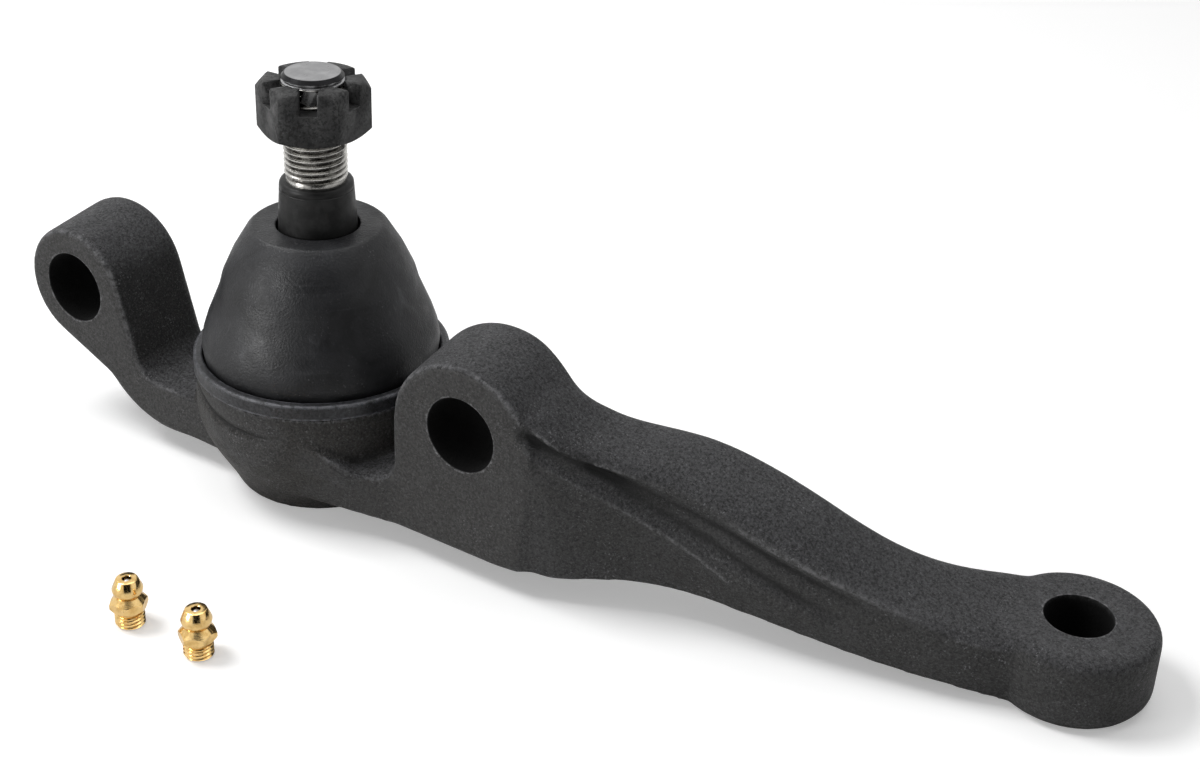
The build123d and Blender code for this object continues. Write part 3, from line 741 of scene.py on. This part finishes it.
def makeStud():
    bm = bmesh.new()
    ball = bmesh.new()
    bmesh.ops.create_uvsphere(ball, u_segments=64, v_segments=32, radius=stud["ball"])
    bmesh.ops.translate(ball, verts=ball.verts, vec=(0, 0, stud["ballZ"]))
    for z, outer in ((stud["flatZ"], False), (stud["headZ"], True)):
        geometry = ball.verts[:] + ball.edges[:] + ball.faces[:]
        cut = bmesh.ops.bisect_plane(ball, geom=geometry, plane_co=(0, 0, z), plane_no=(0, 0, 1),
                                     clear_outer=outer, clear_inner=not outer)
        rim = [e for e in cut["geom_cut"] if isinstance(e, bmesh.types.BMEdge)]
        bmesh.ops.contextual_create(ball, geom=rim)
    joinInto(bm, ball)
    addLathe(bm, stud["shank"] + stud["core"])
    body = toObject("studBody", bm, stud["sharpTurn"])
    body.data.materials.append(taperSteel)
    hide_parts("ball_stud")

    bm = bmesh.new()
    addThread(bm, stud["root"], stud["crest"], stud["pitch"], stud["threadFoot"], stud["threadTop"],
              stud["stepsPerTurn"])
    thread = carve(toObject("studThread", bm, stud["sharpTurn"]), pinCutter())
    paint(thread, threadSteel)
    bm = bmesh.new()
    addLathe(bm, stud["neck"], stud["endSteps"])
    neck = toObject("studNeck", bm, stud["sharpTurn"])
    neck.data.materials.append(threadSteel)
    bm = bmesh.new()
    addLathe(bm, stud["tip"], stud["endSteps"])
    tip = toObject("studTip", bm, stud["tipSharpTurn"])
    tip.data.materials.append(tipSteel)
    for piece in (body, thread, neck, tip):
        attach(piece, "stud")


makeStud()
print("stud made")


# ---- castle nut: the solid's nut with its crown turned to a steeper cone

nut = {"foot": 87.2, "footR": 11.1, "wideZ": 88.35, "wideR": 13.4, "coneZ": 96.96, "crownR": 11.0, "top": 99.6,
       "steps": 144, "sharpTurn": 12}


def makeNut():
    piece = toObject("nutBody", copyOfNode("castle_nut"), nut["sharpTurn"])
    bm = bmesh.new()
    addLathe(bm, [(0, nut["foot"]), (nut["footR"], nut["foot"]), (nut["wideR"], nut["wideZ"]),
                  (nut["wideR"], nut["coneZ"]), (nut["crownR"], nut["top"]), (0, nut["top"])], nut["steps"])
    carve(piece, toObject("nutCone", bm), "INTERSECT")
    paint(piece, nutBlack)
    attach(piece, "nut")
    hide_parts("castle_nut")


makeNut()
print("nut made")


# ---- loose grease fittings

fitting = {
    "body": [(1.35, 0.0), (2.75, 0.0), (2.75, 3.7), (2.45, 3.75), (2.45, 6.9), (2.5, 7.15), (2.85, 7.6), (3.12, 8.1),
             (3.25, 8.7), (3.25, 9.0), (2.32, 11.22), (2.22, 11.3), (1.02, 11.3), (0.96, 11.2), (1.35, 10.1)],
    "steps": 64, "sharpTurn": 40, "pitch": 0.907, "root": 2.7, "crest": 3.17, "threadFoot": 0.2, "threadTop": 3.3,
    "stepsPerTurn": 40, "hexFlats": 7.14, "hexFoot": 3.8, "hexTop": 7.4,
    "hexProfile": [(0, 3.7), (3.25, 3.75), (4.3, 4.7), (4.3, 5.3), (3.7, 5.9), (2.55, 7.1), (0, 7.1)], "hexSteps": 72,
    "turns": {1: 30, 2: 2},
}


def makeFitting(number, x, y, turn):
    move = Matrix.Translation((x * mm, y * mm, 0))
    bm = bmesh.new()
    addLathe(bm, fitting["body"], fitting["steps"])
    addThread(bm, fitting["root"], fitting["crest"], fitting["pitch"], fitting["threadFoot"], fitting["threadTop"],
              fitting["stepsPerTurn"])
    piece = toObject(f"greaseFitting{number}", bm, fitting["sharpTurn"])
    piece.data.materials.append(brass)
    piece.data.transform(move)
    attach(piece, f"fitting_{number}")
    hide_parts(f"grease_fitting_{number}")

    bm = bmesh.new()
    foot, top, cornerR = fitting["hexFoot"], fitting["hexTop"], fitting["hexFlats"] / 3 ** 0.5
    bmesh.ops.create_cone(bm, cap_ends=True, segments=6, radius1=cornerR, radius2=cornerR, depth=top - foot,
                          matrix=Matrix.Translation((0, 0, (top + foot) / 2)) @ Matrix.Rotation(turn, 4, "Z"))
    hexagon = toObject(f"fittingHex{number}", bm)
    bm = bmesh.new()
    addLathe(bm, fitting["hexProfile"], fitting["hexSteps"])
    carve(hexagon, toObject("hexCutter", bm), "INTERSECT")
    hexagon.data.transform(move)
    paint(hexagon, brass)
    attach(hexagon, f"fitting_{number}")


for number, turn in fitting["turns"].items():
    low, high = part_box(f"grease_fitting_{number}")
    makeFitting(number, (low.x + high.x) / 2 / mm, (low.y + high.y) / 2 / mm, radians(turn))
print("fittings made")


# ---- stage: floor, sky, lamps and camera

stage = {
    "floorSize": 8.0, "floorColour": (0.86, 0.86, 0.86), "floorLift": 0.30, "sky": 0.22,
    "key": {"place": (-0.52, -0.20, 0.92), "size": 0.40, "power": 7.4},
    "overhead": {"place": (0.15, 0.25, 1.1), "size": 0.9, "power": 3.4},
    "side": {"place": (-0.50, -0.92, 0.26), "size": 0.26, "power": 2.4},
    "gleam": {"place": (-0.40, -0.92, 0.30), "size": 0.30, "power": 4.5, "glossOnly": True},
    "flag": {"place": (0.80, -0.80, 0.50), "size": 1.3},
    "aim": (0.04, 0.0, 0.03),
}


def makeFloor():
    bm = bmesh.new()
    bmesh.ops.create_grid(bm, x_segments=1, y_segments=1, size=stage["floorSize"] / 2 / mm)
    floor = toObject("floor", bm)
    material, tree, shader = startMaterial("floorWhite", stage["floorColour"], 0.9)
    light = tree.nodes.new("ShaderNodeLightPath")
    glow = maths(tree, "MULTIPLY", light.outputs["Is Camera Ray"], stage["floorLift"])
    shader.inputs["Emission Color"].default_value = (1, 1, 1, 1)
    plug(tree, shader.inputs["Emission Strength"], glow)
    floor.data.materials.append(material)


def makeSky():
    world = bpy.data.worlds.new("sky")
    bpy.context.scene.world = world
    world.use_nodes = True
    tree = world.node_tree
    path = tree.nodes.new("ShaderNodeLightPath")
    seen = maths(tree, "MAXIMUM", path.outputs["Is Camera Ray"], path.outputs["Is Glossy Ray"])
    seen = maths(tree, "MAXIMUM", seen, path.outputs["Is Transmission Ray"])
    background = tree.nodes["Background"]
    background.inputs["Color"].default_value = (1, 1, 1, 1)
    plug(tree, background.inputs["Strength"], reach(tree, seen, 0, 1, stage["sky"], 1.0))


def makeLamp(name):
    settings = stage[name]
    lamp = bpy.data.lights.new(name, "AREA")
    lamp.shape = "SQUARE"
    lamp.size = settings["size"]
    lamp.energy = settings["power"]
    holder = bpy.data.objects.new(name, lamp)
    holder.location = settings["place"]
    ahead = Vector(stage["aim"]) - Vector(settings["place"])
    holder.rotation_euler = ahead.to_track_quat("-Z", "Y").to_euler()
    holder.visible_diffuse = not settings.get("glossOnly", False)
    bpy.context.scene.collection.objects.link(holder)


# a black card that only reflections see, so that bright metal has something dark to mirror
def makeFlag():
    settings = stage["flag"]
    bm = bmesh.new()
    bmesh.ops.create_grid(bm, x_segments=1, y_segments=1, size=settings["size"] / 2 / mm)
    place = Vector(settings["place"])
    turn = (Vector(stage["aim"]) - place).to_track_quat("Z", "Y").to_matrix().to_4x4()
    bmesh.ops.transform(bm, verts=bm.verts, matrix=Matrix.Translation(place / mm) @ turn)
    flag = toObject("flag", bm)
    material, tree, shader = startMaterial("flagBlack", (0.01, 0.01, 0.01), 1.0, specular=0.0)
    flag.data.materials.append(material)
    flag.visible_camera = flag.visible_diffuse = flag.visible_shadow = False


def makeCamera():
    view = {
        "place": (0.26008, -0.29103, 0.24328), "lens": 55.376, "shift": (-0.0199, -0.0876),
        "right": (0.8427, 0.5369, 0.0403), "down": (0.2688, -0.3548, -0.8955),
        "ahead": (-0.4664, 0.7654, -0.4433),
    }
    camera = bpy.data.objects.new("camera", bpy.data.cameras.new("camera"))
    camera.data.sensor_width = 36
    camera.data.lens = view["lens"]
    camera.data.shift_x, camera.data.shift_y = view["shift"]
    camera.data.clip_start, camera.data.clip_end = 0.01, 50
    turn = Matrix((view["right"], [-v for v in view["down"]], [-v for v in view["ahead"]])).transposed()
    camera.matrix_world = Matrix.Translation(view["place"]) @ turn.to_4x4()
    bpy.context.scene.collection.objects.link(camera)
    bpy.context.scene.camera = camera


makeFloor()
makeSky()
for lampName in ("key", "overhead", "side", "gleam"):
    makeLamp(lampName)
makeFlag()
makeCamera()
bpy.context.scene.view_settings.view_transform = "Standard"
print("stage set")
